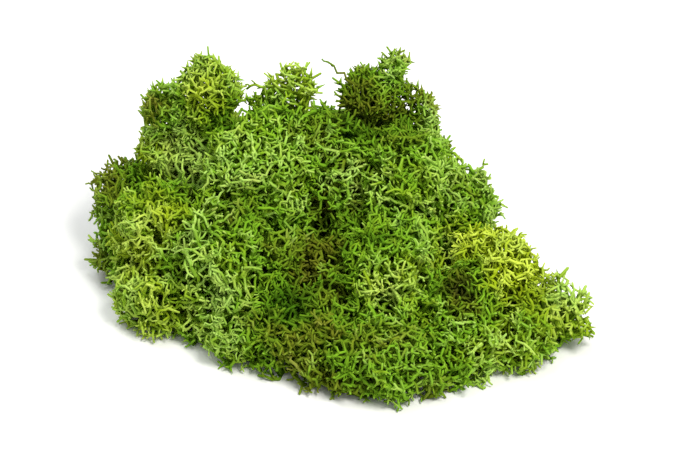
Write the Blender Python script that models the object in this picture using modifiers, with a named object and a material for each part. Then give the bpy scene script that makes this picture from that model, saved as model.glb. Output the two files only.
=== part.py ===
"""Clump of reindeer lichen: a heap of separate cushions whose lower branches tangle together.

Each tuft is one closed body. It is grown from one or more limbs, each a stem that rises from its own root
on the cut base to a rounded head, and is covered all over with small round florets. Where tufts press on
each other they are trimmed flat, a hair apart, and all of them are cut off level at the floor.
"""
import math
import random
from collections import namedtuple
from itertools import combinations

import bmesh
import bpy
from mathutils import Matrix, Vector

MM = 0.001

# The clump as a whole
GAP = 0.9 * MM
VOXEL = 1.4 * MM
DETAIL_KEPT = 0.06
FLOOR_MARGIN = 3.0 * MM
LIMB_SAMPLES = 5
DIRECTIONS_TRIED = 500
FLOOR_BLOCK = 500 * MM

# How far a tuft's florets may stand out from its limbs, and what makes a faceted ball hold a round one
SWELL = 1.7 * MM
FACET_ALLOWANCE = 1.02

# Florets, the small round lumps of branch tips
FLORET_PITCH = 1.0
FLORET_SPREAD = (0.7, 1.3)
FLORET_STEP = 1.2 * MM
FLORET_LIFT = (-0.4, 0.4)
LOWEST_FLORET = -0.55
FEWEST_ON_HEAD = 8
FEWEST_IN_RING = 5
BALL_SUBDIVISIONS = 2
HULL_SUBDIVISIONS = 3
CORE_SHARE = 0.74

# root (x, y) on the floor, head (x, y, z), reach of the head and girth at the root, in millimetres
Limb = namedtuple("Limb", "root head reach girth")
Tuft = namedtuple("Tuft", "limbs floret seed colour")

BRIGHT = (0.19, 0.33, 0.045)
LIME = (0.30, 0.42, 0.05)
YELLOWISH = (0.25, 0.34, 0.05)
OLIVE = (0.13, 0.17, 0.02)
DULL = (0.10, 0.14, 0.025)
BROWNISH = (0.075, 0.08, 0.02)

TUFTS = {
    "crown_left": Tuft(
        [
            Limb((-43, 28), (-45, 25, 65.5), 12.8, 15),
            Limb((-56, 28), (-60, 27, 57), 9.8, 13),
        ],
        5.6, 11, YELLOWISH,
    ),
    "crown_middle": Tuft(
        [
            Limb((-17, 29), (-16, 30, 63), 8.8, 13),
            Limb((-22, 29), (-26, 30, 56), 6.0, 11),
        ],
        4.0, 12, BRIGHT,
    ),
    "crown_right": Tuft(
        [
            Limb((10, 29), (10, 30, 62), 11.0, 15),
            Limb((16, 30), (18, 30, 72), 5.2, 9),
            Limb((20, 29), (23, 30, 61), 6.4, 10),
            Limb((25, 29), (30, 30, 54), 7.2, 13),
        ],
        4.4, 13, OLIVE,
    ),
    "slope_middle": Tuft([Limb((-3, 10), (-4, 14, 43), 15.0, 18)], 6.2, 14, BRIGHT),
    "slope_left_upper": Tuft([Limb((-28, 4), (-27, 6, 46), 18.5, 20)], 6.8, 15, BRIGHT),
    "slope_left_lower": Tuft(
        [
            Limb((-34, -20), (-35, -17, 28), 19.0, 20),
            Limb((-33, -30), (-33, -34, 11), 14.0, 15),
        ],
        6.6, 16, BRIGHT,
    ),
    "side_left": Tuft(
        [
            Limb((-58, 0), (-61, 0, 27), 16.0, 19),
            Limb((-59, -14), (-63, -18, 11), 13.5, 14),
        ],
        6.2, 17, YELLOWISH,
    ),
    "side_left_back": Tuft(
        [
            Limb((-69, 23), (-74, 26, 23), 12.0, 15),
            Limb((-74, 14), (-77, 11, 10), 9.0, 10),
        ],
        5.0, 18, OLIVE,
    ),
    "slope_right_upper": Tuft(
        [
            Limb((25, 6), (26, 9, 41), 17.2, 20),
            Limb((40, 7), (42, 9, 32), 13.4, 17),
        ],
        6.2, 19, BRIGHT,
    ),
    "slope_right_middle": Tuft([Limb((19, -19), (16, -22, 27), 15.6, 19)], 6.0, 20, BRIGHT),
    "recess_middle": Tuft([Limb((-5, -14), (-4, -13, 17), 13.5, 17)], 5.2, 21, BROWNISH),
    "cushion_right": Tuft([Limb((49, -17), (53, -23, 25), 16.2, 18)], 6.2, 22, LIME),
    "cushion_right_low": Tuft(
        [
            Limb((42, -38), (42, -40, 13), 14.6, 16),
            Limb((57, -37), (59, -41, 9), 10.5, 11),
        ],
        5.6, 23, BRIGHT,
    ),
    "spray_right": Tuft(
        [
            Limb((66, -25), (69, -27, 12), 10.6, 12),
            Limb((71, -24), (81, -25, 17), 4.6, 6),
            Limb((70, -22), (76, -21, 22), 4.4, 6),
            Limb((71, -28), (79, -32, 9), 5.0, 6),
        ],
        3.2, 24, BRIGHT,
    ),
    "skirt_left": Tuft(
        [
            Limb((-13, -37), (-13, -42, 13), 14.0, 16),
            Limb((-4, -46), (-4, -51, 9), 11.0, 12),
        ],
        5.6, 25, DULL,
    ),
    "skirt_right": Tuft(
        [
            Limb((16, -48), (17, -54, 12), 15.0, 17),
            Limb((29, -49), (32, -54, 8), 9.5, 11),
        ],
        5.8, 26, DULL,
    ),
    "foot_back_left": Tuft(
        [
            Limb((-42, 42), (-44, 43, 26), 16.5, 19),
            Limb((-60, 38), (-62, 40, 13), 12.5, 14),
        ],
        6.2, 27, OLIVE,
    ),
    "foot_back_middle": Tuft(
        [
            Limb((0, 42), (-3, 43, 30), 15.5, 19),
            Limb((-13, 45), (-17, 49, 13), 12.5, 14),
        ],
        6.2, 28, OLIVE,
    ),
    "foot_back_right": Tuft(
        [
            Limb((26, 38), (27, 38, 20), 13.5, 17),
            Limb((39, 27), (42, 28, 12), 11.0, 14),
        ],
        5.8, 29, OLIVE,
    ),
}


def clear_scene():
    for obj in list(bpy.data.objects):
        bpy.data.objects.remove(obj)


def new_collection(name):
    group = bpy.data.collections.new(name)
    bpy.context.scene.collection.children.link(group)
    return group


def lichen_material(name, colour):
    material = bpy.data.materials.new(name)
    material.use_nodes = True
    surface = material.node_tree.nodes["Principled BSDF"]
    surface.inputs["Base Color"].default_value = (*colour, 1.0)
    surface.inputs["Roughness"].default_value = 0.9
    surface.inputs["Metallic"].default_value = 0.0
    return material


def limb_points(limb):
    """Points up the limb's middle line with the radius of the tuft there, in metres."""
    root = Vector((*limb.root, 0)) * MM - Vector((0, 0, FLOOR_MARGIN))
    head = Vector(limb.head) * MM
    points = []
    for step in range(LIMB_SAMPLES):
        share = step / (LIMB_SAMPLES - 1)
        radius = limb.girth + (limb.reach - limb.girth) * share
        points.append((root.lerp(head, share), radius * MM))
    return points


def add_ball(shape, centre, radius, subdivisions=BALL_SUBDIVISIONS):
    bmesh.ops.create_icosphere(
        shape,
        subdivisions=subdivisions,
        radius=radius,
        matrix=Matrix.Translation(centre),
    )


def even_directions(count):
    """Directions spread evenly over a sphere, along a golden spiral."""
    golden = math.pi * (3 - math.sqrt(5))
    for index in range(count):
        height = 1 - 2 * (index + 0.5) / count
        ring = math.sqrt(1 - height * height)
        yield Vector((ring * math.cos(golden * index), ring * math.sin(golden * index), height))


def add_head_florets(shape, centre, reach, floret, chance):
    """Round lumps all over the head, apart from its underside."""
    count = max(FEWEST_ON_HEAD, round(4 * (reach / (floret * FLORET_PITCH)) ** 2))
    for direction in even_directions(count):
        if direction.z < LOWEST_FLORET:
            continue
        size = floret * chance.uniform(*FLORET_SPREAD)
        out = reach - size + chance.uniform(-FLORET_STEP, FLORET_STEP)
        add_ball(shape, centre + direction * out, size)


def add_stem_florets(shape, points, floret, chance):
    """Rings of round lumps up the stem, so that the flank of the tuft is as lumpy as its head."""
    turn = 0.0
    for centre, radius in points[:-1]:
        count = max(FEWEST_IN_RING, round(2 * math.pi * radius / (2 * floret * FLORET_PITCH)))
        for index in range(count):
            angle = 2 * math.pi * (index + turn) / count
            size = floret * chance.uniform(*FLORET_SPREAD)
            out = radius - size + chance.uniform(-FLORET_STEP, FLORET_STEP)
            sideways = Vector((math.cos(angle), math.sin(angle), 0)) * out
            lift = Vector((0, 0, floret * chance.uniform(*FLORET_LIFT)))
            add_ball(shape, centre + sideways + lift, size)
        # Each ring sits half a step round from the one below it.
        turn += 0.5


def grow_tuft(name, tuft):
    """All the limbs of a tuft, as a heap of balls that still overlap."""
    chance = random.Random(tuft.seed)
    floret = tuft.floret * MM
    shape = bmesh.new()
    for limb in tuft.limbs:
        points = limb_points(limb)
        for (low, low_radius), (high, high_radius) in zip(points, points[1:]):
            add_ball(shape, low, low_radius * CORE_SHARE)
            add_ball(shape, low.lerp(high, 0.5), (low_radius + high_radius) / 2 * CORE_SHARE)
        add_ball(shape, points[-1][0], points[-1][1] * CORE_SHARE)
        add_head_florets(shape, *points[-1], floret, chance)
        add_stem_florets(shape, points, floret, chance)
    mesh = bpy.data.meshes.new(name)
    shape.to_mesh(mesh)
    shape.free()
    mesh.materials.append(lichen_material(name + "_finish", tuft.colour))
    return bpy.data.objects.new(name, mesh)


def overlap_along(direction, first, second):
    """How deep the second set of balls reaches into the first along a direction, and where."""
    far = max(direction.dot(point) + radius for point, radius in first)
    near = min(direction.dot(point) - radius for point, radius in second)
    return far - near, (far + near) / 2


def parting_plane(first, second):
    """The plane across which two sets of balls overlap least: the depth, its place and its normal."""
    best = None
    for direction in even_directions(DIRECTIONS_TRIED):
        depth, place = overlap_along(direction, first, second)
        if best is None or depth < best[0]:
            best = (depth, place, direction)
    return best


def limb_hull(points):
    """A plain convex form that holds the whole limb with its florets."""
    balls = bmesh.new()
    for centre, radius in points:
        add_ball(balls, centre, (radius + SWELL) * FACET_ALLOWANCE, HULL_SUBDIVISIONS)
    hull = bmesh.new()
    for vertex in balls.verts:
        hull.verts.new(vertex.co)
    balls.free()
    bmesh.ops.convex_hull(hull, input=hull.verts[:])
    inner_points = [vertex for vertex in hull.verts if not vertex.link_faces]
    bmesh.ops.delete(hull, geom=inner_points, context="VERTS")
    return hull


def keep_beyond(hull, normal, place):
    """Cuts a convex form at a plane and keeps, closed again, what lies beyond it."""
    cut = bmesh.ops.bisect_plane(
        hull,
        geom=hull.verts[:] + hull.edges[:] + hull.faces[:],
        plane_co=normal * place,
        plane_no=normal,
        clear_inner=True,
    )
    rim = [item for item in cut["geom_cut"] if isinstance(item, bmesh.types.BMEdge)]
    if rim:
        bmesh.ops.contextual_create(hull, geom=rim)
    bmesh.ops.recalc_face_normals(hull, faces=hull.faces[:])


def add_cutter(name, shape, group):
    mesh = bpy.data.meshes.new(name)
    shape.to_mesh(mesh)
    shape.free()
    obj = bpy.data.objects.new(name, mesh)
    obj.hide_render = True
    obj.display_type = "WIRE"
    group.objects.link(obj)
    return obj


def add_trimmings(name, neighbours, normal, place, group):
    """Cutters that clear the far side of a parting plane, as far as the neighbour's limbs reach."""
    for limb in neighbours:
        hull = limb_hull(limb)
        keep_beyond(hull, normal, place - GAP / 2)
        if hull.faces:
            add_cutter(name + "_trim", hull, group)
        else:
            hull.free()


def limbs_that_meet(first, second):
    """Those limbs of two tufts that come close enough to touch."""
    reach = -2 * SWELL * FACET_ALLOWANCE
    pairs = [(a, b) for a in first for b in second if parting_plane(a, b)[0] > reach]
    near_first = [limb for limb in first if any(limb is a for a, _ in pairs)]
    near_second = [limb for limb in second if any(limb is b for _, b in pairs)]
    return near_first, near_second


def trim_pair(first_name, second_name, groups):
    """Parts two tufts along the one plane across which their meeting limbs overlap least."""
    first = [limb_points(limb) for limb in TUFTS[first_name].limbs]
    second = [limb_points(limb) for limb in TUFTS[second_name].limbs]
    near_first, near_second = limbs_that_meet(first, second)
    if not near_first:
        return
    _, place, normal = parting_plane(sum(near_first, []), sum(near_second, []))
    add_trimmings(first_name, near_second, normal, place, groups[first_name])
    add_trimmings(second_name, near_first, -normal, -place, groups[second_name])


def floor_block():
    """Everything below the floor, where the clump is cut off level."""
    block = bmesh.new()
    centre = Matrix.Translation((0, 0, -FLOOR_BLOCK / 2))
    bmesh.ops.create_cube(block, size=FLOOR_BLOCK, matrix=centre)
    return block


def islands(shape):
    """The connected pieces of a mesh, as sets of vertices."""
    left = set(shape.verts)
    while left:
        piece = set()
        edge = [left.pop()]
        while edge:
            vertex = edge.pop()
            piece.add(vertex)
            fresh = {link.other_vert(vertex) for link in vertex.link_edges} & left
            left -= fresh
            edge.extend(fresh)
        yield piece


def keep_largest_piece(mesh):
    """Drops the crumbs that trimming can leave beside a tuft."""
    shape = bmesh.new()
    shape.from_mesh(mesh)
    bmesh.ops.triangulate(shape, faces=shape.faces[:])
    pieces = sorted(islands(shape), key=len, reverse=True)
    crumbs = [vertex for piece in pieces[1:] for vertex in piece]
    bmesh.ops.delete(shape, geom=crumbs, context="VERTS")
    shape.to_mesh(mesh)
    shape.free()


def add_skin(obj, name):
    """Wraps all that the object holds in one even skin."""
    skin = obj.modifiers.new(name, "REMESH")
    skin.mode = "VOXEL"
    skin.voxel_size = VOXEL


def add_cut(obj, name):
    cut = obj.modifiers.new(name, "BOOLEAN")
    cut.operation = "DIFFERENCE"
    # Every form here is closed, and the exact solver leaves open edges on the crowns.
    cut.solver = "MANIFOLD"
    return cut


def shape_tuft(obj, group, floor):
    """Fuses a tuft, trims it, softens the cuts, thins it out and cuts it level at the floor."""
    add_skin(obj, "fuse")
    trimming = add_cut(obj, "trim")
    trimming.operand_type = "COLLECTION"
    trimming.collection = group
    add_skin(obj, "soften")
    thin = obj.modifiers.new("thin", "DECIMATE")
    thin.ratio = DETAIL_KEPT
    add_cut(obj, "level").object = floor
    graph = bpy.context.evaluated_depsgraph_get()
    mesh = bpy.data.meshes.new_from_object(obj.evaluated_get(graph))
    mesh.name = obj.name
    obj.modifiers.clear()
    obj.data = mesh
    keep_largest_piece(mesh)


def centre_on_base(objects):
    """Moves the clump so that the middle of its base is the origin."""
    corners = [vertex.co for obj in objects for vertex in obj.data.vertices]
    middle = Vector((0, 0, 0))
    for axis in (0, 1):
        values = [corner[axis] for corner in corners]
        middle[axis] = (min(values) + max(values)) / 2
    for obj in objects:
        obj.location = -middle


def main():
    clear_scene()
    parts = new_collection("reindeer_lichen_clump")
    cutters = new_collection("trimming_forms")
    floor = add_cutter("floor", floor_block(), cutters)
    groups = {}
    for name in TUFTS:
        groups[name] = bpy.data.collections.new(name + "_trimming")
        cutters.children.link(groups[name])
    for first_name, second_name in combinations(TUFTS, 2):
        trim_pair(first_name, second_name, groups)
    objects = []
    for name, tuft in TUFTS.items():
        obj = grow_tuft(name, tuft)
        parts.objects.link(obj)
        shape_tuft(obj, groups[name], floor)
        objects.append(obj)
    centre_on_base(objects)


main()
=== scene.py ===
"""Looks for the clump of reindeer lichen.

Every tuft is a bush of forked twigs that grows from its cut foot, fills the tuft's solid and ends at its
skin in small whorls of branch tips. The twigs are old and dull inside the bush and fresh and bright at its
skin; that darkening inward is partly older wood and partly painted shade. Painted shade also lies in the
valleys between tufts and in the skin's pits, and painted light and shade lie in some spots.
"""
import math
from collections import defaultdict, namedtuple

import bpy
import numpy as np
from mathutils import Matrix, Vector
from mathutils.bvhtree import BVHTree
from mathutils.kdtree import KDTree


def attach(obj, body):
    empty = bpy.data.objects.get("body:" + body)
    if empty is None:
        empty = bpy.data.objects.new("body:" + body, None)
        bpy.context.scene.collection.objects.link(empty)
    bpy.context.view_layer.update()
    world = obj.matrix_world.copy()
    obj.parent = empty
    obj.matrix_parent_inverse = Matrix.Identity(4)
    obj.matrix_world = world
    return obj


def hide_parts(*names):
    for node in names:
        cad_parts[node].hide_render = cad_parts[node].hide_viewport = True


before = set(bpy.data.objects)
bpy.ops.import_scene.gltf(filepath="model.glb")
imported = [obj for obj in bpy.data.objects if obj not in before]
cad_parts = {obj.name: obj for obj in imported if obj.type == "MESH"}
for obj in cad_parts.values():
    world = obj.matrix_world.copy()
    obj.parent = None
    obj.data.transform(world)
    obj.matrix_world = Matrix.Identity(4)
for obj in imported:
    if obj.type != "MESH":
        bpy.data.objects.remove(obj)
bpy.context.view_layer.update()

MM = 0.001
TINY = 1e-9


# The tufts. Every length from here to the finishes is in millimetres

# How a tuft grows: the scale of its twigs, how much wider apart they fork deep inside than near the skin,
# its share of runners, how far the soft skin fills the valleys beside it, and how much its twigs bend
Growth = namedtuple("Growth", "scale core runners fill curl")
LEFT_CROWN = Growth(scale=0.92, core=1.9, runners=0.3, fill=2.6, curl=1.6)
MIDDLE_CROWN = Growth(scale=0.96, core=2.6, runners=0.3, fill=2.4, curl=1.6)
RIGHT_CROWN = Growth(scale=0.88, core=1.4, runners=0.3, fill=2.8, curl=1.5)
SLOPE = Growth(scale=1.0, core=1.9, runners=0.85, fill=6.0, curl=1.65)
LEFT_SIDE = Growth(scale=1.0, core=1.9, runners=0.7, fill=6.0, curl=1.65)
LEFT_BACK = Growth(scale=1.0, core=1.6, runners=0.2, fill=5.0, curl=1.4)
RECESS = Growth(scale=1.05, core=1.6, runners=0.6, fill=4.0, curl=1.65)
CUSHION = Growth(scale=0.92, core=1.8, runners=0.4, fill=5.0, curl=1.8)
LOW_CUSHION = Growth(scale=1.0, core=1.6, runners=0.8, fill=6.0, curl=1.7)
SPRAY = Growth(scale=1.2, core=1.2, runners=0.9, fill=3.0, curl=2.2)
SKIRT = Growth(scale=1.05, core=1.6, runners=0.8, fill=6.0, curl=1.6)
BACK_FOOT = Growth(scale=1.2, core=1.9, runners=0.7, fill=6.0, curl=1.4)

# Tint goes from brown at 0 through green to lime at 1. Newness makes a whole tuft's twigs older or fresher;
# where it is low, as on the recess and the skirts, it also darkens them as painted shade.
# Each limb goes from its root on the base to its head, as in the solid before the clump was centred
Tuft = namedtuple("Tuft", "growth tint newness slot limbs")
Limb = namedtuple("Limb", "root head")
CENTRING = Vector((-0.103, 3.131, 0.0))

# Each tuft's random seed counts up from this, in the order of the tufts
FIRST_TUFT_SEED = 11
TUFTS = {
    "crown_left": Tuft(LEFT_CROWN, 0.72, 1.0, "yellow_green_lichen", (
        Limb((-43, 28), (-45, 25, 65.5)),
        Limb((-56, 28), (-60, 27, 57)),
    )),
    "crown_middle": Tuft(MIDDLE_CROWN, 0.66, 1.0, "bright_green_lichen", (
        Limb((-17, 29), (-16, 30, 63)),
        Limb((-22, 29), (-26, 30, 56)),
    )),
    "crown_right": Tuft(RIGHT_CROWN, 0.38, 0.76, "olive_lichen", (
        Limb((10, 29), (10, 30, 62)),
        Limb((16, 30), (18, 30, 72)),
        Limb((20, 29), (23, 30, 61)),
        Limb((25, 29), (30, 30, 54)),
    )),
    "slope_middle": Tuft(SLOPE, 0.48, 0.95, "bright_green_lichen", (
        Limb((-3, 10), (-4, 14, 43)),
    )),
    "slope_left_upper": Tuft(SLOPE, 0.52, 1.0, "bright_green_lichen", (
        Limb((-28, 4), (-27, 6, 46)),
    )),
    "slope_left_lower": Tuft(SLOPE, 0.52, 1.0, "bright_green_lichen", (
        Limb((-34, -20), (-35, -17, 28)),
        Limb((-33, -30), (-33, -34, 11)),
    )),
    "side_left": Tuft(LEFT_SIDE, 0.72, 1.0, "yellow_green_lichen", (
        Limb((-58, 0), (-61, 0, 27)),
        Limb((-59, -14), (-63, -18, 11)),
    )),
    "side_left_back": Tuft(LEFT_BACK, 0.38, 0.85, "olive_lichen", (
        Limb((-69, 23), (-74, 26, 23)),
        Limb((-74, 14), (-77, 11, 10)),
    )),
    "slope_right_upper": Tuft(SLOPE, 0.54, 1.0, "bright_green_lichen", (
        Limb((25, 6), (26, 9, 41)),
        Limb((40, 7), (42, 9, 32)),
    )),
    "slope_right_middle": Tuft(SLOPE, 0.60, 1.0, "bright_green_lichen", (
        Limb((19, -19), (16, -22, 27)),
    )),
    "recess_middle": Tuft(RECESS, 0.30, 0.78, "brownish_lichen", (
        Limb((-5, -14), (-4, -13, 17)),
    )),
    "cushion_right": Tuft(CUSHION, 0.90, 0.92, "lime_lichen", (
        Limb((49, -17), (53, -23, 25)),
    )),
    "cushion_right_low": Tuft(LOW_CUSHION, 0.62, 1.0, "bright_green_lichen", (
        Limb((42, -38), (42, -40, 13)),
        Limb((57, -37), (59, -41, 9)),
    )),
    "spray_right": Tuft(SPRAY, 0.68, 1.0, "bright_green_lichen", (
        Limb((66, -25), (69, -27, 12)),
        Limb((71, -24), (81, -25, 17)),
        Limb((70, -22), (76, -21, 22)),
        Limb((71, -28), (79, -32, 9)),
    )),
    "skirt_left": Tuft(SKIRT, 0.42, 0.76, "dull_green_lichen", (
        Limb((-13, -37), (-13, -42, 13)),
        Limb((-4, -46), (-4, -51, 9)),
    )),
    "skirt_right": Tuft(SKIRT, 0.48, 0.80, "dull_green_lichen", (
        Limb((16, -48), (17, -54, 12)),
        Limb((29, -49), (32, -54, 8)),
    )),
    "foot_back_left": Tuft(BACK_FOOT, 0.42, 0.95, "olive_lichen", (
        Limb((-42, 42), (-44, 43, 26)),
        Limb((-60, 38), (-62, 40, 13)),
    )),
    "foot_back_middle": Tuft(BACK_FOOT, 0.40, 0.95, "olive_lichen", (
        Limb((0, 42), (-3, 43, 30)),
        Limb((-13, 45), (-17, 49, 13)),
    )),
    "foot_back_right": Tuft(BACK_FOOT, 0.46, 0.95, "olive_lichen", (
        Limb((26, 38), (27, 38, 20)),
        Limb((39, 27), (42, 28, 12)),
    )),
}

# Places where the moss is tinted otherwise, or is older or fresher, than its tuft, and their widths. Lower
# newness and a browner tint there partly paint shade in hollows and low down, and higher newness partly
# paints light on shaded faces
Spot = namedtuple("Spot", "place width tint newness")
TINT_AND_LIGHT_SPOTS = (
    Spot((-63, 25, 61), 9.0, -0.34, -0.22),
    Spot((-44, 20, 74), 9.0, 0.10, 0.08),
    Spot((-40, 20, 61), 7.0, -0.12, -0.85),
    Spot((-54, 22, 43), 9.0, 0.08, 0.60),
    Spot((-47, 14, 43), 8.0, 0.02, 0.50),
    Spot((-57, 8, 41), 6.0, -0.28, -0.25),
    Spot((-70, 18, 33), 9.0, -0.05, -0.35),
    Spot((-68, 2, 39), 7.0, 0.0, -0.35),
    Spot((-64, -9, 37), 8.0, 0.14, 0.20),
    Spot((-16, 29, 68), 9.0, -0.02, 0.05),
    Spot((8, 28, 70), 6.0, -0.04, -0.30),
    Spot((5, 25, 56), 9.0, -0.04, -0.50),
    Spot((-3, 27, 50), 6.0, -0.20, -0.35),
    Spot((19, 28, 74), 7.0, 0.20, 0.35),
    Spot((32, 26, 58), 7.0, 0.10, 0.75),
    Spot((23, 26, 57), 7.0, -0.04, -0.45),
    Spot((3, 4, 44), 6.0, 0.04, 0.35),
    Spot((13, 3, 47), 6.0, 0.0, 0.35),
    Spot((23, 0, 49), 7.0, -0.05, -0.35),
    Spot((-7, 3, 37), 6.0, -0.12, -0.20),
    Spot((-8, 2, 29), 9.0, -0.12, -0.45),
    Spot((-34, -3, 54), 10.0, 0.0, 0.25),
    Spot((-47, -15, 37), 8.0, 0.0, 0.30),
    Spot((-28, -17, 43), 9.0, -0.04, -0.40),
    Spot((-19, -23, 30), 8.0, -0.06, -0.35),
    Spot((-16, -35, 22), 9.0, -0.08, -0.72),
    Spot((-44, -31, 26), 8.0, 0.0, 0.45),
    Spot((-5, -17, 28), 8.0, 0.0, 0.08),
    Spot((3, -14, 30), 8.0, -0.10, -0.30),
    Spot((14, -18, 41), 8.0, -0.08, -0.60),
    Spot((15, -35, 26), 7.0, 0.06, 0.65),
    Spot((26, -28, 27), 8.0, 0.0, 0.05),
    Spot((36, -10, 32), 7.0, 0.06, 0.45),
    Spot((41, -30, 28), 8.0, -0.58, -0.50),
    Spot((58, -27, 36), 8.0, 0.10, 0.35),
    Spot((64, -31, 25), 6.0, -0.05, -0.20),
    Spot((80, -30, 3), 7.0, -0.20, -0.60),
    Spot((76, -26, 20), 8.0, -0.05, 0.45),
    Spot((42, -37, 22), 7.0, -0.34, -0.50),
    Spot((2, 20, 50), 6.0, -0.06, -0.50),
    Spot((23, 14, 54), 6.0, -0.04, -0.55),
    Spot((-54, -4, 41), 6.0, 0.0, -0.40),
    Spot((-36, -22, 35), 6.0, 0.0, -0.40),
    Spot((12, -18, 36), 6.0, 0.0, -0.25),
    Spot((3, -26, 26), 6.0, 0.0, -0.45),
    Spot((9, -33, 24), 5.0, 0.0, -0.10),
    Spot((-17, -5, 36), 7.0, 0.0, 0.40),
    Spot((-3, 8, 43), 6.0, 0.0, 0.35),
    Spot((29, 5, 45), 6.0, 0.0, 0.35),
)

# Places where the soft skin stands higher or lower than the solids, and how wide each place is
Swell = namedtuple("Swell", "place width height")
SWELLS = (
    Swell((-69, 30, 60), 4.0, -2.5),
    Swell((-53, 30, 75), 4.0, -5.0),
    Swell((-45, 31, 77), 4.5, 2.8),
    Swell((-37, 33, 74), 3.5, -2.0),
    Swell((-56, 31, 70), 3.0, -2.5),
    Swell((-33, 31, 69), 4.0, -1.5),
    Swell((-26, 33, 63), 4.0, 2.5),
    Swell((-16, 33, 72), 4.0, 1.5),
    Swell((-8, 35, 67), 4.0, 1.5),
    Swell((-20, 25, 71), 2.6, -4.0),
    Swell((-20, 31, 66.5), 2.6, -5.0),
    Swell((-20, 36, 63), 2.6, -5.0),
    Swell((8, 36, 73), 6.0, -2.8),
    Swell((18, 32, 80), 4.0, -2.5),
    Swell((25, 31, 65), 4.5, -5.0),
    Swell((31, 33, 60), 5.0, 1.5),
    Swell((37, 31, 51), 5.0, -3.5),
    Swell((36, 33, 58), 4.0, -4.0),
    Swell((-57, 19, 44), 8.0, 3.5),
    Swell((-33, 30, 59), 4.0, 1.5),
    Swell((38, -7, 31), 6.0, 3.0),
    Swell((-1, 28, 56), 4.0, -2.5),
    Swell((-48, -14, 39), 8.0, 3.0),
    Swell((-32, -3, 54), 8.0, 1.0),
    Swell((2, -19, 36), 7.0, -3.0),
    Swell((40, 17, 49), 6.0, -3.0),
    Swell((75, -18, 26), 7.0, -4.0),
    Swell((83, -22, 21), 5.0, -3.0),
    Swell((14, -16, 42), 6.0, -2.5),
    Swell((-14, -36, 24), 6.0, -3.0),
)

# Single twigs that stand out of the crowns, each from inside its tuft to its tip
SPRIGS = {
    "crown_right": (
        ((6.0, 29.5, 67.0), (1.5, 30.0, 72.0), (-2.0, 30.5, 74.5), (-5.5, 30.5, 76.5)),
        ((19.0, 31.0, 71.0), (21.5, 32.5, 74.0), (23.5, 35.0, 75.5)),
    ),
}


# Values of the soft skin

# A tuft fills the valleys towards neighbours that are nearer than this; past FAR nothing is looked for
NEAR = 16.0
FAR = 1000.0

# Smooth random patterns are sums of this many waves, whose lengths are these shares of the pattern's own,
# sharpened by this contrast
WAVE_COUNT = 9
WAVE_STRETCH = (0.75, 1.5)
WAVE_CONTRAST = 1.3

# The skin's lumps, which fade to a share of their height up through the crowns, where the skin swells a
# little instead, and its smaller knots
LUMP_SEED = 3
LUMP_LENGTH = 10.0
LUMP_HEIGHT = 1.9
CROWNS_START = 44.0
CROWNS_WHOLE = 60.0
LUMPS_ON_CROWNS = 0.5
CROWN_SWELL = 0.9
KNOT_SEED = 4
KNOT_LENGTH = 5.6
KNOT_HEIGHT = 0.8

# How the skin is sampled: tries, spacing, and how places are moved on to it
SKIN_SEED = 5
SKIN_AREA_OF_TRY = 1.2
SKIN_SAMPLE_SPACING = 2.6
SKIN_TOLERANCE = 0.7
SKIN_ROUNDS = 3
SKIN_STRIDE = 4.0
SHARE_OF_WAY = 0.9


# Values of the forks

# Tries for each square millimetre of skin, or cubic millimetre of the tuft's box
LAYER_TRIES = 1.6
BED_TRIES = 3.0
CORE_TRIES = 0.12

# How far under the soft skin forks may begin and their outermost layer lies, how places are moved there,
# between which heights over the solid's own skin the bed is spread, and how low a fork may be
SKIN_INSET = 1.8
SHALLOWEST_FORK = SKIN_INSET * 0.8
LAYER_DEPTH = SKIN_INSET + 0.4
LAYER_ROUNDS = 2
LAYER_STRIDE = 6.0
BED_HEIGHTS = (-9.0, 5.0)
LOWEST_FORK = 0.8

# How far apart forks stand near the skin, and between which depths that widens to the tuft's core
FORK_SPACING = 2.4
SHELL_DEPTH = 4.0
CORE_DEPTH = 15.0

# Stems at the cut foot
ROOT_TRIES = 1500
ROOT_SPACING = 7.0
ROOT_INSET = 0.8
STEM_FOOT = 2.0

# How much a twig keeps its direction, how much it points outward, and how much it prefers a short way home
STRAIGHTNESS = 0.35
POINTING_OUT = 1.1
WAY_HOME = 0.22

# Outward is away from a point this far down the limb's line, mixed with a lean that neighbours share
ANCHOR_LAG = 12.0
LEANING_SEEDS = (31, 32, 33)
LEANING_LENGTH = 11.0
LEANING_STRENGTH = 1.2


# Values of the tips, runners and sprigs

FLOOR_CLEARANCE = 0.35

# A whorl is turned from a side square to this way; its twigs stand this unevenly around and lean out by
# these shares of its spread
WHORL_START = (0.3, 0.5, 0.8)
WHORL_UNEVENNESS = (-0.25, 0.25)
WHORL_LEAN = (0.7, 1.25)

# How many tips grow at a fork near the skin and at one inside, how long and wide apart, and how far outward
TIPS_AT_FORK = (1, 3)
TIPS_INSIDE = 5
TIP_LENGTH = (1.8, 3.8)
INSIDE_TIP_LENGTH = (2.6, 4.4)
TIP_SPREAD = 0.95
OUTWARD_TIPS = 0.55

# A tuft whose valleys are filled less than this has its hooked tips in a thinner shell
BROAD_FILL = 5.0

# Runners start at forks between these depths, by the tuft's share times this chance, and end under the skin
RUNNER_DEPTHS = (1.0, 3.4)
RUNNER_CHANCE = 1.6
RUNNER_LEAN = (0.8, 1.45)
RUNNER_STEP = (2.2, 3.8)
RUNNER_OUTWARD = 0.45
RUNNER_WANDER = 0.3
RUNNER_END_DEPTH = 0.2
RUNNER_TIP = (1.5, 2.7)
RUNNER_FORK_SPREAD = 0.6
RUNNER_SIDE_SPREAD = 1.0

SPRIG_TIP = (1.0, 1.8)
SPRIG_SIDE_SPREAD = 0.8
SPRIG_THICKNESS = 0.85


# Values of the tubes

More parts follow.
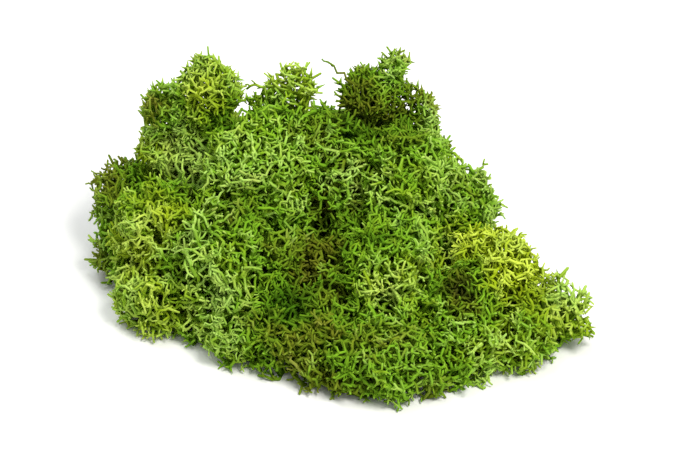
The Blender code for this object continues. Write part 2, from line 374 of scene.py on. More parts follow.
# Radii at a tip, at the foot of a plain tip inside the tuft, of an old stem and of a twig at the skin, how
# much stouter a twig may be with each millimetre of depth, and over what length it thickens
TIP_RADIUS = 0.33
INSIDE_TIP_RADIUS = 0.78
STEM_RADIUS = 0.74
SKIN_TWIG_RADIUS = 0.46
STOUTER_WITH_DEPTH = 0.06
THICKENING_LENGTH = 8.0

# How far a twig wanders between forks, and how near its tip its last ring is, which makes the tip blunt
TWIG_WANDER = 0.14
LAST_RING = 0.88

# A hooked tip: how far it bends aside, where its two rings are, and its radii from foot to end
HOOK_BEND = (0.15, 0.5)
HOOK_RINGS = (0.45, 0.91)
HOOK_RADII = (0.42, TIP_RADIUS * 1.1, TIP_RADIUS, TIP_RADIUS)

TIP_SIDES = 3
TWIG_SIDES = 4

# Twigs through up to this many points are made together, and the longer ones apart, which saves memory
FEW_POINTS = 4

# A tube's rings are turned from the upright, or from sideways where its start is steeper than this
STEEP = 0.8
UPRIGHT = (0.0, 0.0, 1.0)
SIDEWAYS = (1.0, 0.0, 0.0)


# Values of the twigs' tint and newness

# How far tufts blend into each other, how much darker their valleys are, as painted shade with partly older
# moss, and how strongly wide patches, small flecks and single twigs are tinted otherwise
TINT_REACH = 3.0
VALLEY_SHADE = 0.20
PATCH_SEED = 7
PATCH_LENGTH = 22.0
TINT_PATCHES = 0.20
FLECK_SEED = 8
FLECK_LENGTH = 6.0
TINT_FLECKS = 0.12
TINT_OF_ONE = 0.03

# Newness of twigs inside the tuft and at its skin, what tips add to it, from what depth and over what length
# it falls, and how much the skin's knots change it. The fall with depth is partly older wood and partly
# painted shade inside the bush; the knots paint shade in the skin's pits and light between them
INSIDE_NEWNESS_AND_SHADE = 0.26
TWIG_NEWNESS = 0.78
TIP_NEWNESS = 0.16
FRESH_DEPTH = 1.2
DARKENING_DEPTH = 3.5
KNOT_LIGHT = 1.21
KNOT_SHADE = 0.34

# Both are kept in the mesh's map, inside these limits
MAP_NAME = "OFBake"
MAP_LIMITS = (0.01, 0.99)


# Directions

def unit(vector):
    """A vector with its length made one."""
    return vector / max(np.linalg.norm(vector), TINY)


def units(vectors):
    """Many vectors, one a row, with the length of each made one."""
    return vectors / np.maximum(np.linalg.norm(vectors, axis=1), TINY)[:, None]


def closeness(places, mark):
    """One at a marked place, and less with distance, by the mark's width."""
    away = np.linalg.norm(places - mark.place, axis=1) / mark.width
    return np.exp(-away**2)


class Waves:
    """A smooth random pattern through space, from nothing to one, with lumps of about the given length."""

    def __init__(self, seed, length):
        chance = np.random.default_rng(seed)
        directions = units(chance.normal(0, 1, (WAVE_COUNT, 3)))
        lengths = length * chance.uniform(*WAVE_STRETCH, WAVE_COUNT)
        self.waves = directions * (2 * math.pi / lengths)[:, None]
        self.shifts = chance.uniform(0, 2 * math.pi, WAVE_COUNT)
        self.strength = WAVE_CONTRAST / math.sqrt(WAVE_COUNT)

    def __call__(self, places):
        total = np.sin(places @ self.waves.T + self.shifts).sum(axis=1)
        return 0.5 + 0.5 * np.tanh(total * self.strength)

    def swing(self, places):
        """The pattern, from minus one to one."""
        return 2 * self(places) - 1


LEANING = [Waves(seed, LEANING_LENGTH) for seed in LEANING_SEEDS]
PATCHES = Waves(PATCH_SEED, PATCH_LENGTH)
FLECKS = Waves(FLECK_SEED, FLECK_LENGTH)


# Solids, and the soft skin over them all

class Solid:
    """A tuft's solid in millimetres: its triangles, and a tree to look things up in."""

    def __init__(self, node):
        mesh = node.data
        mesh.calc_loop_triangles()
        points = np.empty(len(mesh.vertices) * 3)
        mesh.vertices.foreach_get("co", points)
        faces = np.empty(len(mesh.loop_triangles) * 3, np.int32)
        mesh.loop_triangles.foreach_get("vertices", faces)
        self.points = points.reshape(-1, 3) / MM
        self.faces = faces.reshape(-1, 3)
        self.low = self.points.min(axis=0)
        self.high = self.points.max(axis=0)
        self.tree = BVHTree.FromPolygons(self.points.tolist(), self.faces.tolist())
        corners = self.points[self.faces]
        cross = np.cross(corners[:, 1] - corners[:, 0], corners[:, 2] - corners[:, 0])
        self.areas = np.linalg.norm(cross, axis=1) / 2
        self.normals = units(cross)

    def skin_points(self, count, chance):
        """Points spread at random over the skin, with the skin's outward direction at each."""
        picked = chance.choice(len(self.faces), count, p=self.areas / self.areas.sum())
        first, second = chance.random((2, count))
        root = np.sqrt(first)
        weights = np.stack([1 - root, root * (1 - second), root * second], axis=1)
        places = np.einsum("ij,ijk->ik", weights, self.points[self.faces[picked]])
        return places, self.normals[picked]

    def outside(self, places, reach=FAR):
        """How far each place is outside the skin, up to the reach; less than nothing inside."""
        return np.array([self.height(place, reach) for place in places.tolist()])

    def height(self, place, reach):
        spot, normal, _, distance = self.tree.find_nearest(place, reach)
        if spot is None:
            return reach
        return -distance if (Vector(place) - spot).dot(normal) < 0 else distance


def thinned(places, spacings):
    """Indices of places, taken in order, that keep their spacing from those taken before."""
    cell = max(spacings)
    grid = defaultdict(list)
    kept = []
    for index, ((x, y, z), spacing) in enumerate(zip(places.tolist(), spacings)):
        home = (int(x // cell), int(y // cell), int(z // cell))
        if crowded(grid, home, x, y, z, spacing * spacing):
            continue
        grid[home].append((x, y, z))
        kept.append(index)
    return kept


def crowded(grid, home, x, y, z, limit):
    """Whether a place taken before is nearer than the square root of the limit."""
    for i in (home[0] - 1, home[0], home[0] + 1):
        for j in (home[1] - 1, home[1], home[1] + 1):
            for k in (home[2] - 1, home[2], home[2] + 1):
                for a, b, c in grid.get((i, j, k), ()):
                    if (a - x) ** 2 + (b - y) ** 2 + (c - z) ** 2 < limit:
                        return True
    return False


class Heap:
    """All the tufts' solids, and the soft skin over them that their moss shares."""

    def __init__(self, solids):
        self.solids = solids
        self.lumps = Waves(LUMP_SEED, LUMP_LENGTH)
        self.knots = Waves(KNOT_SEED, KNOT_LENGTH)
        self.near = {name: self.neighbours(name) for name in solids}
        self.skin = self.sampled_skin()

    def neighbours(self, name):
        """The tufts whose solids' boxes come near this one's."""
        own = self.solids[name]
        found = []
        for other, solid in self.solids.items():
            apart = (solid.low > own.high + NEAR) | (solid.high < own.low - NEAR)
            if other != name and not apart.any():
                found.append(other)
        return found

    def survey(self, name, places):
        """For each place: how deep it is under the soft skin, and whether it is this tuft's own."""
        fill = TUFTS[name].growth.fill
        own = self.solids[name].outside(places)
        nearest = np.full(len(places), NEAR)
        total = np.exp(-own / fill)
        for other in self.near[name]:
            outside = self.solids[other].outside(places, NEAR)
            nearest = np.minimum(nearest, outside)
            total += np.where(outside < NEAR, np.exp(-outside / fill), 0)
        rise = np.clip((places[:, 2] - CROWNS_START) / (CROWNS_WHOLE - CROWNS_START), 0, 1)
        lump_height = LUMP_HEIGHT * (1 - (1 - LUMPS_ON_CROWNS) * rise)
        level = -fill * np.log(total) + lump_height * self.lumps.swing(places) - CROWN_SWELL * rise
        level += KNOT_HEIGHT * self.knots.swing(places)
        for swell in SWELLS:
            level -= swell.height * closeness(places, swell)
        return -level, own <= nearest

    def brought_under(self, name, places, normals, depth, rounds, stride):
        """Places moved along their normals to a depth under the soft skin, a stride at most each round."""
        for _ in range(rounds):
            under, _ = self.survey(name, places)
            places = places + normals * np.clip(under - depth, -stride, stride)[:, None] * SHARE_OF_WAY
        return places

    def sampled_skin(self):
        """Places all over the soft skin, as a tree to find the nearest one in."""
        chance = np.random.default_rng(SKIN_SEED)
        found = []
        for name, solid in self.solids.items():
            places, normals = solid.skin_points(int(solid.areas.sum() / SKIN_AREA_OF_TRY), chance)
            kept = thinned(places, [SKIN_SAMPLE_SPACING] * len(places))
            places = self.brought_under(name, places[kept], normals[kept], 0.0, SKIN_ROUNDS, SKIN_STRIDE)
            under, own = self.survey(name, places)
            good = (np.abs(under) < SKIN_TOLERANCE) & own & (places[:, 2] > 0.0)
            found.extend(places[good].tolist())
        tree = KDTree(len(found))
        for index, place in enumerate(found):
            tree.insert(place, index)
        tree.balance()
        return tree

    def inwardness(self, places):
        """How far each place is from the soft skin."""
        return np.array([self.skin.find(place)[2] for place in places.tolist()])

    def tint_and_newness_with_valley_shade(self, name, places):
        """The tufts' tint and newness, blended where tufts meet, and darker in the valleys between them as
        painted shade, partly older moss.
        """
        total = np.full(len(places), 1.0)
        tint = np.full(len(places), TUFTS[name].tint)
        newness = np.full(len(places), TUFTS[name].newness)
        own = np.maximum(self.solids[name].outside(places), 0)
        for other in self.near[name]:
            away = np.maximum(self.solids[other].outside(places, NEAR), 0) - own
            weight = np.exp(-np.maximum(away, 0) / TINT_REACH)
            total += weight
            tint += weight * TUFTS[other].tint
            newness += weight * TUFTS[other].newness
        # Valleys between tufts are darkened: painted shade, partly older moss
        valley = np.clip(total - 1, 0, 1)
        return tint / total, newness / total * (1 - VALLEY_SHADE * valley)


# Forks, and how they join into a bush

def outward(places, limbs):
    """The way twigs grow at each place: up from the foot and away from the nearest limb's middle line."""
    best = np.full(len(places), np.inf)
    way = np.zeros((len(places), 3))
    for limb in limbs:
        root = np.array((*limb.root, 0.0)) + CENTRING
        line = np.array(limb.head) + CENTRING - root
        along = np.clip((places - root) @ line / (line @ line), 0, 1)
        lag = ANCHOR_LAG / np.linalg.norm(line)
        anchor = root + line * np.maximum(along - lag, 0)[:, None]
        distance = np.linalg.norm(places - (root + line * along[:, None]), axis=1)
        closer = distance < best
        best = np.where(closer, distance, best)
        way = np.where(closer[:, None], places - anchor, way)
    return units(way)


def leaning(places):
    """Twigs that stand together lean the same way, whatever way that is."""
    return np.column_stack([waves.swing(places) for waves in LEANING])


def fork_spacing(depth, growth):
    """Forks stand close under the soft skin and wider apart deep inside."""
    share = np.clip((depth - SHELL_DEPTH) / (CORE_DEPTH - SHELL_DEPTH), 0, 1)
    return FORK_SPACING * growth.scale * (1 + (growth.core - 1) * share)


def fork_places(name, heap, chance):
    """Where the twigs fork: first a layer close under the soft skin, then all through the tuft."""
    solid = heap.solids[name]
    area = solid.areas.sum()
    layer, normals = solid.skin_points(int(area * LAYER_TRIES), chance)
    layer = heap.brought_under(name, layer, normals, LAYER_DEPTH, LAYER_ROUNDS, LAYER_STRIDE)
    bed, normals = solid.skin_points(int(area * BED_TRIES), chance)
    bed = bed + normals * chance.uniform(*BED_HEIGHTS, len(bed))[:, None]
    size = solid.high - solid.low
    core = solid.low + chance.random((int(np.prod(size) * CORE_TRIES), 3)) * size
    places = np.concatenate([layer, bed, core])
    places = places[places[:, 2] > LOWEST_FORK]
    under, own = heap.survey(name, places)
    places = places[own & (under > SHALLOWEST_FORK)]
    inward = heap.inwardness(places)
    kept = thinned(places, fork_spacing(inward, TUFTS[name].growth).tolist())
    return places[kept], inward[kept]


def root_places(solid, chance):
    """Where the tuft's stems stand on its flat cut foot."""
    flat = solid.low[:2] + chance.random((ROOT_TRIES, 2)) * (solid.high - solid.low)[:2]
    places = np.column_stack([flat, np.full(len(flat), STEM_FOOT)])
    places = places[solid.outside(places) < -ROOT_INSET]
    places = places[thinned(places, [ROOT_SPACING] * len(places))]
    places[:, 2] = 0.0
    return places


def grow_tree(places, roots, ways):
    """Joins every fork to one nearer home, so that each way home is short and bends little."""
    count = len(places)
    parents = np.full(count, -1)
    home = np.zeros(count)
    heading = np.zeros((count, 3))
    cost = np.full(count, np.inf)
    joined = np.zeros(count, bool)
    cost[:roots] = 0
    heading[:roots] = UPRIGHT
    for _ in range(count):
        now = int(np.argmin(np.where(joined, np.inf, cost)))
        joined[now] = True
        if parents[now] >= 0:
            step = places[now] - places[parents[now]]
            home[now] = home[parents[now]] + np.linalg.norm(step)
            heading[now] = unit(step)
        steps = places - places[now]
        lengths = np.linalg.norm(steps, axis=1)
        towards = units(steps)
        bend = 1 - towards @ heading[now]
        against = 1 - np.einsum("ij,ij->i", towards, ways)
        offer = lengths * (1 + STRAIGHTNESS * bend + POINTING_OUT * against) + WAY_HOME * home[now]
        better = (offer < cost) & ~joined
        cost[better] = offer[better]
        parents[better] = now
    return parents, heading


# Tips, runners and sprigs

OPEN, HIDDEN, SLENDER = range(3)


def above_floor(place):
    """The place, lifted if it lies too near the floor."""
    x, y, z = place
    return np.array((x, y, max(z, FLOOR_CLEARANCE)))


class Shoots:
    """The tips that grow at the forks, in the order they are added, each with the index of its parent."""

    def __init__(self, start):
        self.start = start
        self.places = []
        self.parents = []
        self.kinds = []

    def add(self, place, parent, kind=OPEN):
        self.places.append(above_floor(place))
        self.parents.append(parent)
        self.kinds.append(kind)
        return self.start + len(self.places) - 1


def whorl(axis, count, spread, chance):
    """Directions that part evenly around an axis, as the tips at a twig's end do."""
    side = unit(np.cross(axis, WHORL_START))
    other = np.cross(axis, side)
    turn = chance.random() * 2 * math.pi
    made = []
    for index in range(count):
        around = turn + 2 * math.pi * (index + chance.uniform(*WHORL_UNEVENNESS)) / count
        lean = spread * chance.uniform(*WHORL_LEAN)
        aside = math.cos(around) * side + math.sin(around) * other
        made.append(math.cos(lean) * axis + math.sin(lean) * aside)
    return made


def add_tips(growth, shoots, places, parents, heading, ways, inward, chance):
    """A whorl of tips at every fork: a few that show near the skin, and plain ones hidden inside."""
    shell = SHELL_DEPTH * min(growth.fill / BROAD_FILL, 1)
    for index, place in enumerate(places):
        if parents[index] < 0:
            continue
        if inward[index] < shell:
            count = int(chance.integers(TIPS_AT_FORK[0], TIPS_AT_FORK[1] + 1))
            lengths, kind = TIP_LENGTH, OPEN
        else:
            count = round(TIPS_INSIDE / growth.core)
            lengths, kind = INSIDE_TIP_LENGTH, HIDDEN
        axis = unit(heading[index] + OUTWARD_TIPS * ways[index])
        for direction in whorl(axis, count, TIP_SPREAD, chance):
            shoots.add(place + direction * growth.scale * chance.uniform(*lengths), index, kind)


def add_runners(name, heap, shoots, places, parents, ways, inward, chance):
    """Long bent twigs that run nearly along the skin and end in a small fork."""
    growth = TUFTS[name].growth
    near = (inward > RUNNER_DEPTHS[0]) & (inward < RUNNER_DEPTHS[1]) & (parents >= 0)
    starts = np.nonzero(near & (chance.random(len(places)) < growth.runners * RUNNER_CHANCE))[0]
    firsts, seconds, bents = [], [], []
    for index in starts:
        lean = whorl(ways[index], 1, chance.uniform(*RUNNER_LEAN), chance)[0]
        first = places[index] + lean * growth.scale * chance.uniform(*RUNNER_STEP)
        bent = unit(lean + RUNNER_OUTWARD * ways[index] + chance.normal(0, RUNNER_WANDER, 3))
        firsts.append(first)
        bents.append(bent)
        seconds.append(first + bent * growth.scale * chance.uniform(*RUNNER_STEP))
    if not firsts:
        return
    under, _ = heap.survey(name, np.array(seconds))
    for index, first, second, bent, depth in zip(starts, firsts, seconds, bents, under):
        if depth < RUNNER_END_DEPTH:
            continue
        first = above_floor(first)
        second = above_floor(second)
        middle = shoots.add(first, index)
        end = shoots.add(second, middle)
        for direction in whorl(bent, 2, RUNNER_FORK_SPREAD, chance):
            shoots.add(second + direction * chance.uniform(*RUNNER_TIP), end)
        side = whorl(bent, 1, RUNNER_SIDE_SPREAD, chance)[0]
        shoots.add(first + side * chance.uniform(*RUNNER_TIP), middle)


def add_sprig(shoots, points, places, chance):
    """A twig along given points, from the fork nearest to the first, with a side tip at each bend."""
    points = np.array(points, float)
    parent = int(np.argmin(np.linalg.norm(places - points[0], axis=1)))
    before = places[parent]
    for point in points:
        parent = shoots.add(point, parent, SLENDER)
        side = whorl(unit(point - before), 1, SPRIG_SIDE_SPREAD, chance)[0]
        shoots.add(point + side * chance.uniform(*SPRIG_TIP), parent, SLENDER)
        before = point


# One tuft's whole bush: its forks come first, and its tips from the count of forks on

Bush = namedtuple("Bush", "growth forks places parents kinds inward values")


def values_of(name, heap, places, inward, forks, chance):
    """The tint of each place, and its newness, which goes from old wood to new tip and also carries painted
    light and shade.
    """
    tint, newness = heap.tint_and_newness_with_valley_shade(name, places)
    # Spots shift tint and newness: partly the moss's own colour, partly painted shade and painted light
    for spot in TINT_AND_LIGHT_SPOTS:
        share = closeness(places, spot)
        tint = tint + spot.tint * share
        newness = newness + spot.newness * share
    tint = tint + TINT_PATCHES * (PATCHES(places) - 0.5) + TINT_FLECKS * (FLECKS(places) - 0.5)
    tint = tint + chance.normal(0, TINT_OF_ONE, len(places))
    # Darker with depth: partly older wood, partly painted shade inside the bush
    under = np.exp(-np.maximum(inward - FRESH_DEPTH, 0) / DARKENING_DEPTH)
    grown_and_shaded = INSIDE_NEWNESS_AND_SHADE + (TWIG_NEWNESS - INSIDE_NEWNESS_AND_SHADE) * under
    grown_and_shaded[forks:] += TIP_NEWNESS
    # The skin's knots paint shade in its pits and light between them
    return np.column_stack([tint, grown_and_shaded * newness * (KNOT_LIGHT - KNOT_SHADE * heap.knots(places))])


def grow_bush(name, heap, chance):
    tuft = TUFTS[name]
    roots = root_places(heap.solids[name], chance)
    places, inward = fork_places(name, heap, chance)
    places = np.vstack([roots, places])
    inward = np.concatenate([np.full(len(roots), CORE_DEPTH), inward])
    ways = units(outward(places, tuft.limbs) + LEANING_STRENGTH * leaning(places))
    parents, heading = grow_tree(places, len(roots), ways)
    forks = len(places)
    shoots = Shoots(forks)
    add_tips(tuft.growth, shoots, places, parents, heading, ways, inward, chance)
    add_runners(name, heap, shoots, places, parents, ways, inward, chance)
    for sprig in SPRIGS.get(name, ()):
        add_sprig(shoots, sprig, places, chance)
    tips = np.array(shoots.places)
    places = np.vstack([places, tips])
    parents = np.concatenate([parents, shoots.parents])
    kinds = np.concatenate([np.full(forks, OPEN), shoots.kinds])
    inward = np.concatenate([inward, heap.inwardness(tips)])
    values = values_of(name, heap, places, inward, forks, chance)
    return Bush(tuft.growth, forks, places, parents, kinds, inward, values)


# Turning twigs into runs of points with radii and values

def from_the_roots(parents):
    """Forks in an order in which each comes after its parent; the order grows while it is gone through."""
    children = defaultdict(list)
    order = []
    for index, above in enumerate(parents.tolist()):
        if above < 0:
            order.append(index)
        else:
            children[above].append(index)
    for index in order:
        order.extend(children.get(index, ()))
    return order


def main_lines(places, parents):
    """Runs of twig from where each leaves its parent, out to a tip, always along the longest way on."""
    count = len(places)
    order = from_the_roots(parents)
    reach = np.zeros(count)
    onward = np.full(count, -1)
    for index in reversed(order):
        above = parents[index]
        if above < 0:
            continue
        length = np.linalg.norm(places[index] - places[above]) + reach[index]
        if onward[above] < 0 or length > reach[above]:
            reach[above] = length
            onward[above] = index
    lines = []
    for index in order:
        above = parents[index]
        if above >= 0 and onward[above] == index:
            continue
        line = [] if above < 0 else [above]
        now = index
        while now >= 0:
            line.append(now)
            now = onward[now]
        if len(line) > 1:
            lines.append(line)
    return lines, reach


def on_curve(points, share):
    """A place on the smooth curve through four points, between the middle two."""
    first, second, third, fourth = points
    slope = third - first
    square = 2 * first - 5 * second + 4 * third - fourth
    cube = 3 * (second - third) + fourth - first
    return second + 0.5 * share * (slope + share * (square + share * cube))


def with_halves(row):
    """The values at a line's forks, with the mean of each two between them."""
    run = np.empty((2 * len(row) - 1, *row.shape[1:]))
    run[0::2] = row
    run[1::2] = (row[1:] + row[:-1]) / 2
    return run


def wandering_run(bush, line, reach, thickness, chance):
    """A twig along its forks, with a bent point between each two: points, radii and values."""
    spots = bush.places[line]
    parent = bush.parents[line[0]]
    before = bush.places[parent] if parent >= 0 else 2 * spots[0] - spots[1]
    padded = np.vstack([before, spots, 2 * spots[-1] - spots[-2]])
    steps = np.linalg.norm(spots[1:] - spots[:-1], axis=1)
    halfway = (-padded[:-3] + 9 * padded[1:-2] + 9 * padded[2:-1] - padded[3:]) / 16
    wander = (steps * TWIG_WANDER * bush.growth.curl)[:, None]
    halfway = halfway + chance.normal(0, 1, halfway.shape) * wander
    halfway[:, 2] = np.maximum(halfway[:, 2], FLOOR_CLEARANCE)
    halfway[-1] = on_curve(padded[-4:], LAST_RING)
    run = with_halves(spots)
    run[1::2] = halfway
    ahead = reach[line]
    ahead[0] = ahead[1] + steps[0]
    thickened = 1 - np.exp(-with_halves(ahead) / THICKENING_LENGTH)
    radii = TIP_RADIUS + (STEM_RADIUS - TIP_RADIUS) * thickened
    most = SKIN_TWIG_RADIUS + STOUTER_WITH_DEPTH * with_halves(bush.inward[line])
    radii = np.minimum(radii, most) * bush.growth.scale * thickness
    return run, radii, with_halves(bush.values[line])


def plain_run(bush, line):
    """A straight tip inside the tuft, where little of it is seen."""
    return bush.places[line], np.array([INSIDE_TIP_RADIUS, TIP_RADIUS]), bush.values[line]


def hooked_run(bush, line, thickness, chance):
    """A tip near the skin: it bends to one side and ends bluntly."""
    start, end = bush.places[line]
    way = end - start
    length = max(np.linalg.norm(way), TINY)
    side = whorl(way / length, 1, math.pi / 2, chance)[0]
    bend = start + way / 2 + side * length * bush.growth.curl * chance.uniform(*HOOK_BEND)
    run = [start]
    for share in HOOK_RINGS:
        run.append(above_floor((1 - share) ** 2 * start + 2 * share * (1 - share) * bend + share**2 * end))
    run.append(end)
    radii = bush.growth.scale * thickness * np.array(HOOK_RADII)
    first, last = bush.values[line]
    shares = np.array([0.0, *HOOK_RINGS, 1.0])[:, None]
    return np.array(run), radii, first * (1 - shares) + last * shares


def runs_of(bush, chance):
    """All the bush's twigs, as sets of runs, each with the number of sides of its tubes."""
    lines, reach = main_lines(bush.places, bush.parents)
    plain, hooked, short, long = [], [], [], []
    for line in lines:
        kind = bush.kinds[line[-1]]
        thickness = SPRIG_THICKNESS if kind == SLENDER else 1.0
        single_tip = len(line) == 2 and line[1] >= bush.forks
        if single_tip and kind == HIDDEN:
            plain.append(plain_run(bush, line))
        elif single_tip:
            hooked.append(hooked_run(bush, line, thickness, chance))
        elif len(line) <= FEW_POINTS:
            short.append(wandering_run(bush, line, reach, thickness, chance))
        else:
            long.append(wandering_run(bush, line, reach, thickness, chance))
    return (plain, TIP_SIDES), (hooked, TIP_SIDES), (short, TWIG_SIDES), (long, TWIG_SIDES)


# Turning runs into one mesh

def stacked(runs, most):
    """The runs' points, radii and values as whole arrays; a run that is done stays at its end."""
    spots = np.zeros((len(runs), most, 3))
    radii = np.zeros((len(runs), most))
    values = np.zeros((len(runs), most, 2))
    for index, (run, radius, value) in enumerate(runs):
        size = len(run)
        spots[index, :size] = run
        spots[index, size:] = run[-1]
        radii[index, :size] = radius
        values[index, :size] = value
    return spots, radii, values


def ring_points(spots, radii, sides):
    """A ring of points around each point of each run but its last, carried along without twist."""
    angles = 2 * math.pi * np.arange(sides) / sides
    cosines = np.cos(angles)[None, :, None]
    sines = np.sin(angles)[None, :, None]
    across = None
    rings = []
    for step in range(spots.shape[1] - 1):
        tangent = units(spots[:, step + 1] - spots[:, max(step - 1, 0)])
        if across is None:
            across = np.cross(tangent, np.where(np.abs(tangent[:, 2:3]) < STEEP, [UPRIGHT], [SIDEWAYS]))
        across = units(across - np.einsum("ij,ij->i", across, tangent)[:, None] * tangent)
        other = np.cross(tangent, across)
        around = cosines * across[:, None] + sines * other[:, None]
        rings.append(spots[:, step, None] + radii[:, step, None, None] * around)
    return np.stack(rings, axis=1)


def tubes(runs, sides):
    """Closed tapering tubes along runs of points, each ending in a point: vertices, values and faces."""
    lengths = np.array([len(run) for run, _, _ in runs])
    most = lengths.max()
    spots, radii, values = stacked(runs, most)
    has_ring = np.arange(most - 1)[None, :] < (lengths - 1)[:, None]
    first = np.zeros(has_ring.shape, int)
    first[has_ring] = np.arange(has_ring.sum()) * sides
    every = np.arange(len(runs))
    ring_spots = ring_points(spots, radii, sides)[has_ring].reshape(-1, 3)
    ring_values = np.repeat(values[:, :-1][has_ring], sides, axis=0)
    points = np.vstack([ring_spots, spots[every, lengths - 1]])
    all_values = np.vstack([ring_values, values[every, lengths - 1]])
    apex = len(ring_spots) + every
    joined = has_ring[:, 1:]
    low = first[:, :-1][joined]
    high = first[:, 1:][joined]
    last = first[every, lengths - 2]
    quads, triangles = [], []
    for side in range(sides):
        onward = (side + 1) % sides
        quads.append(np.stack([low + side, low + onward, high + onward, high + side], axis=1))
        triangles.append(np.stack([last + side, last + onward, apex], axis=1))
    caps = np.stack([first[:, 0] + side for side in reversed(range(sides))], axis=1)
    return points, all_values, [np.concatenate(quads), np.concatenate(triangles), caps]


def mesh_from(name, parts):
    """One mesh from several sets of tubes, with their tint and newness as its map."""
    points, values, loops, totals = [], [], [], []
    start = 0
    for part_points, part_values, faces in parts:
        points.append(part_points)
        values.append(part_values)
        for block in faces:
            loops.append((block + start).ravel())
            totals.append(np.full(len(block), block.shape[1]))
        start += len(part_points)
    points = np.vstack(points) * MM
    points[:, 2] = np.maximum(points[:, 2], 0.0)
    values = np.clip(np.vstack(values), *MAP_LIMITS)
    loops = np.concatenate(loops)
    totals = np.concatenate(totals)
    starts = np.concatenate([[0], np.cumsum(totals)[:-1]])
    mesh = bpy.data.meshes.new(name)
    mesh.vertices.add(len(points))
    mesh.vertices.foreach_set("co", points.ravel())
    mesh.loops.add(len(loops))
    mesh.loops.foreach_set("vertex_index", loops.astype(np.int32))
    mesh.polygons.add(len(totals))
    mesh.polygons.foreach_set("loop_start", starts.astype(np.int32))
    mesh.polygons.foreach_set("loop_total", totals.astype(np.int32))
    mesh.polygons.foreach_set("use_smooth", np.ones(len(totals), bool))
    mesh.update(calc_edges=True)
    layer = mesh.uv_layers.new(name=MAP_NAME)
    layer.data.foreach_set("uv", values[loops].ravel())
    mesh.validate()
    return mesh


def make_moss(name, seed, heap, group):
    """A tuft's moss, which stands for the tuft's solid."""
    tuft = TUFTS[name]
    chance = np.random.default_rng(seed)
    bush = grow_bush(name, heap, chance)
    mesh = mesh_from(name + "_moss", [tubes(runs, sides) for runs, sides in runs_of(bush, chance)])
    mesh.materials.append(lichen_material(name + "_lichen", group))
    moss = bpy.data.objects.new(name + "_moss", mesh)
    bpy.context.scene.collection.objects.link(moss)
    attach(moss, "root")
    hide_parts(name)


# Finishes

# Colours by tint, from brown and olive through green to lime, of old wood, kept dark also as painted shade
# inside the bush, of a grown twig and of a tip
OLD_WOOD_AND_SHADE_TONES = (
    (0.0, (0.036, 0.033, 0.004)),
    (0.5, (0.038, 0.118, 0.002)),
    (1.0, (0.09, 0.115, 0.001)),
)
BODY_TONES = (
    (0.0, (0.10, 0.085, 0.016)),
    (0.28, (0.15, 0.18, 0.010)),
    (0.52, (0.168, 0.358, 0.015)),
    (0.74, (0.25, 0.37, 0.013)),
    (1.0, (0.31, 0.41, 0.006)),
)
TIP_TONES = (
    (0.0, (0.24, 0.22, 0.07)),
    (0.28, (0.31, 0.355, 0.06)),
    (0.52, (0.365, 0.57, 0.108)),
    (0.74, (0.46, 0.60, 0.095)),
    (1.0, (0.56, 0.68, 0.07)),
)

# The newness over which old wood, dark also as painted shade, turns to twig, and twig to tip
TWIG_FROM_TO = (0.0, 0.60)
TIP_FROM_TO = (0.55, 1.0)

# Roughness of the oldest and the newest twigs, and their faint gloss
ROUGHNESS = (0.95, 0.72)
GLOSS = 0.06

# Where a Mix node has its factor, its two colours and its result when it mixes colours
MIX_FACTOR, MIX_FIRST, MIX_SECOND, MIX_RESULT = 0, 6, 7, 2


def mixed(tree, factor, first, second):
    """Mixes two colours by a factor."""
    node = tree.nodes.new("ShaderNodeMix")
    node.data_type = "RGBA"
    tree.links.new(factor, node.inputs[MIX_FACTOR])
    tree.links.new(first, node.inputs[MIX_FIRST])
    tree.links.new(second, node.inputs[MIX_SECOND])
    return node.outputs[MIX_RESULT]


def remapped(tree, value, given, made=(0.0, 1.0), curve="SMOOTHSTEP"):
    """Turns the given range of a value into the range to be made."""
    node = tree.nodes.new("ShaderNodeMapRange")
    node.interpolation_type = curve
    limits = {"From Min": given[0], "From Max": given[1], "To Min": made[0], "To Max": made[1]}
    for socket, limit in limits.items():
        node.inputs[socket].default_value = limit
    tree.links.new(value, node.inputs["Value"])
    return node.outputs["Result"]


def colour_ramp(tree, value, tones):
    node = tree.nodes.new("ShaderNodeValToRGB")
    points = node.color_ramp.elements
    for index, (place, colour) in enumerate(tones):
        point = points[index] if index < len(points) else points.new(place)
        point.position = place
        point.color = (*colour, 1.0)
    tree.links.new(value, node.inputs["Fac"])
    return node.outputs["Color"]


def lichen_tones_group():
    """Colour and roughness of a twig from its tint, and its newness, old wood to new tip, which also carries
    painted light and shade.
    """
    tree = bpy.data.node_groups.new("lichen_tones", "ShaderNodeTree")
    tree.interface.new_socket(name="Tint", in_out="INPUT", socket_type="NodeSocketFloat")
    tree.interface.new_socket(name="Newness", in_out="INPUT", socket_type="NodeSocketFloat")
    tree.interface.new_socket(name="Color", in_out="OUTPUT", socket_type="NodeSocketColor")
    tree.interface.new_socket(name="Roughness", in_out="OUTPUT", socket_type="NodeSocketFloat")
    given = tree.nodes.new("NodeGroupInput").outputs
    made = tree.nodes.new("NodeGroupOutput").inputs
    old_wood_and_shade = colour_ramp(tree, given["Tint"], OLD_WOOD_AND_SHADE_TONES)
    body = colour_ramp(tree, given["Tint"], BODY_TONES)
    tip = colour_ramp(tree, given["Tint"], TIP_TONES)
    colour = mixed(tree, remapped(tree, given["Newness"], TWIG_FROM_TO), old_wood_and_shade, body)
    colour = mixed(tree, remapped(tree, given["Newness"], TIP_FROM_TO), colour, tip)
    roughness = remapped(tree, given["Newness"], (0.0, 1.0), ROUGHNESS, "LINEAR")
    tree.links.new(colour, made["Color"])
    tree.links.new(roughness, made["Roughness"])
    return tree


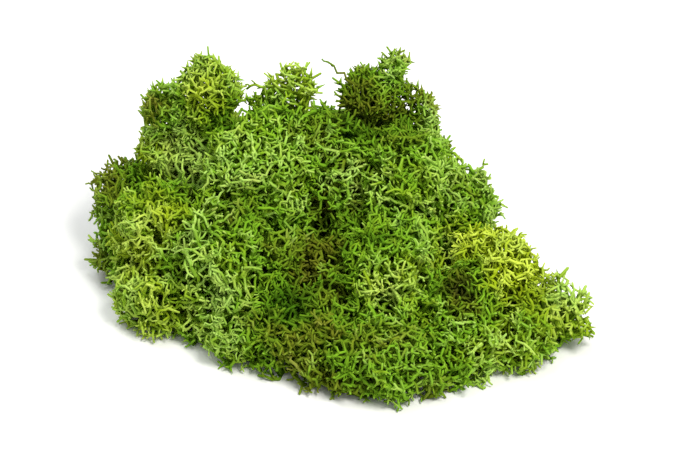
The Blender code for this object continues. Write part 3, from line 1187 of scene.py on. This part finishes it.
def lichen_material(name, group):
    material = bpy.data.materials.new(name)
    material.use_nodes = True
    tree = material.node_tree
    shader = tree.nodes["Principled BSDF"]
    shader.inputs["Specular IOR Level"].default_value = GLOSS
    place = tree.nodes.new("ShaderNodeUVMap")
    place.uv_map = MAP_NAME
    split = tree.nodes.new("ShaderNodeSeparateXYZ")
    tree.links.new(place.outputs["UV"], split.inputs[0])
    tone = tree.nodes.new("ShaderNodeGroup")
    tone.node_tree = group
    tree.links.new(split.outputs["X"], tone.inputs["Tint"])
    tree.links.new(split.outputs["Y"], tone.inputs["Newness"])
    tree.links.new(tone.outputs["Color"], shader.inputs["Base Color"])
    tree.links.new(tone.outputs["Roughness"], shader.inputs["Roughness"])
    return material


# Floor, light and camera, in metres

FLOOR_COLOUR = (0.86, 0.86, 0.85)
FLOOR_ROUGHNESS = 0.9
FLOOR_SIZE = 6.0

SKY_COLOUR = (1.0, 1.0, 1.0)
SKY_STRENGTH = 0.55
Softbox = namedtuple("Softbox", "name place width power colour")
SOFTBOXES = (
    Softbox("key", (0.45, -0.5, 1.1), 0.5, 15.5, (1.0, 0.98, 0.94)),
    Softbox("top", (-0.35, 0.25, 1.3), 0.9, 9.0, (0.96, 0.98, 1.0)),
)

MIDDLE = Vector((0.0, 0.0, 0.030))
CAMERA_ELEVATION = math.radians(35.7)
CAMERA_DISTANCE = 1.63
CAMERA_LENS = 255.0
CAMERA_SENSOR = 36.0
CAMERA_REACH = 20.0


def make_floor():
    bpy.ops.object.select_all(action="DESELECT")
    bpy.ops.mesh.primitive_plane_add(size=FLOOR_SIZE, location=(0, 0, 0))
    floor = bpy.context.object
    floor.name = "floor"
    material = bpy.data.materials.new("pale_floor")
    material.use_nodes = True
    shader = material.node_tree.nodes["Principled BSDF"]
    shader.inputs["Base Color"].default_value = (*FLOOR_COLOUR, 1.0)
    shader.inputs["Roughness"].default_value = FLOOR_ROUGHNESS
    floor.data.materials.append(material)


def add_softbox(box):
    """A round soft light that is aimed at the middle of the clump."""
    light = bpy.data.lights.new(box.name, "AREA")
    light.shape = "DISK"
    light.size = box.width
    light.energy = box.power
    light.color = box.colour
    lamp = bpy.data.objects.new(box.name, light)
    bpy.context.scene.collection.objects.link(lamp)
    lamp.location = box.place
    lamp.rotation_euler = (MIDDLE - Vector(box.place)).to_track_quat("-Z", "Y").to_euler()


def make_light():
    world = bpy.data.worlds.new("studio")
    bpy.context.scene.world = world
    world.use_nodes = True
    sky = world.node_tree.nodes["Background"]
    sky.inputs["Color"].default_value = (*SKY_COLOUR, 1.0)
    sky.inputs["Strength"].default_value = SKY_STRENGTH
    for box in SOFTBOXES:
        add_softbox(box)
    bpy.context.scene.view_settings.view_transform = "Standard"


def make_camera():
    camera = bpy.data.cameras.new("camera")
    camera.lens = CAMERA_LENS
    camera.sensor_width = CAMERA_SENSOR
    camera.clip_end = CAMERA_REACH
    holder = bpy.data.objects.new("camera", camera)
    bpy.context.scene.collection.objects.link(holder)
    back = Vector((0, -math.cos(CAMERA_ELEVATION), math.sin(CAMERA_ELEVATION)))
    holder.location = MIDDLE + back * CAMERA_DISTANCE
    holder.rotation_euler = (-back).to_track_quat("-Z", "Y").to_euler()
    bpy.context.scene.camera = holder


def main():
    heap = Heap({name: Solid(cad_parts[name]) for name in TUFTS})
    group = lichen_tones_group()
    for seed, name in enumerate(TUFTS, FIRST_TUFT_SEED):
        make_moss(name, seed, heap, group)
    make_floor()
    make_light()
    make_camera()


main()
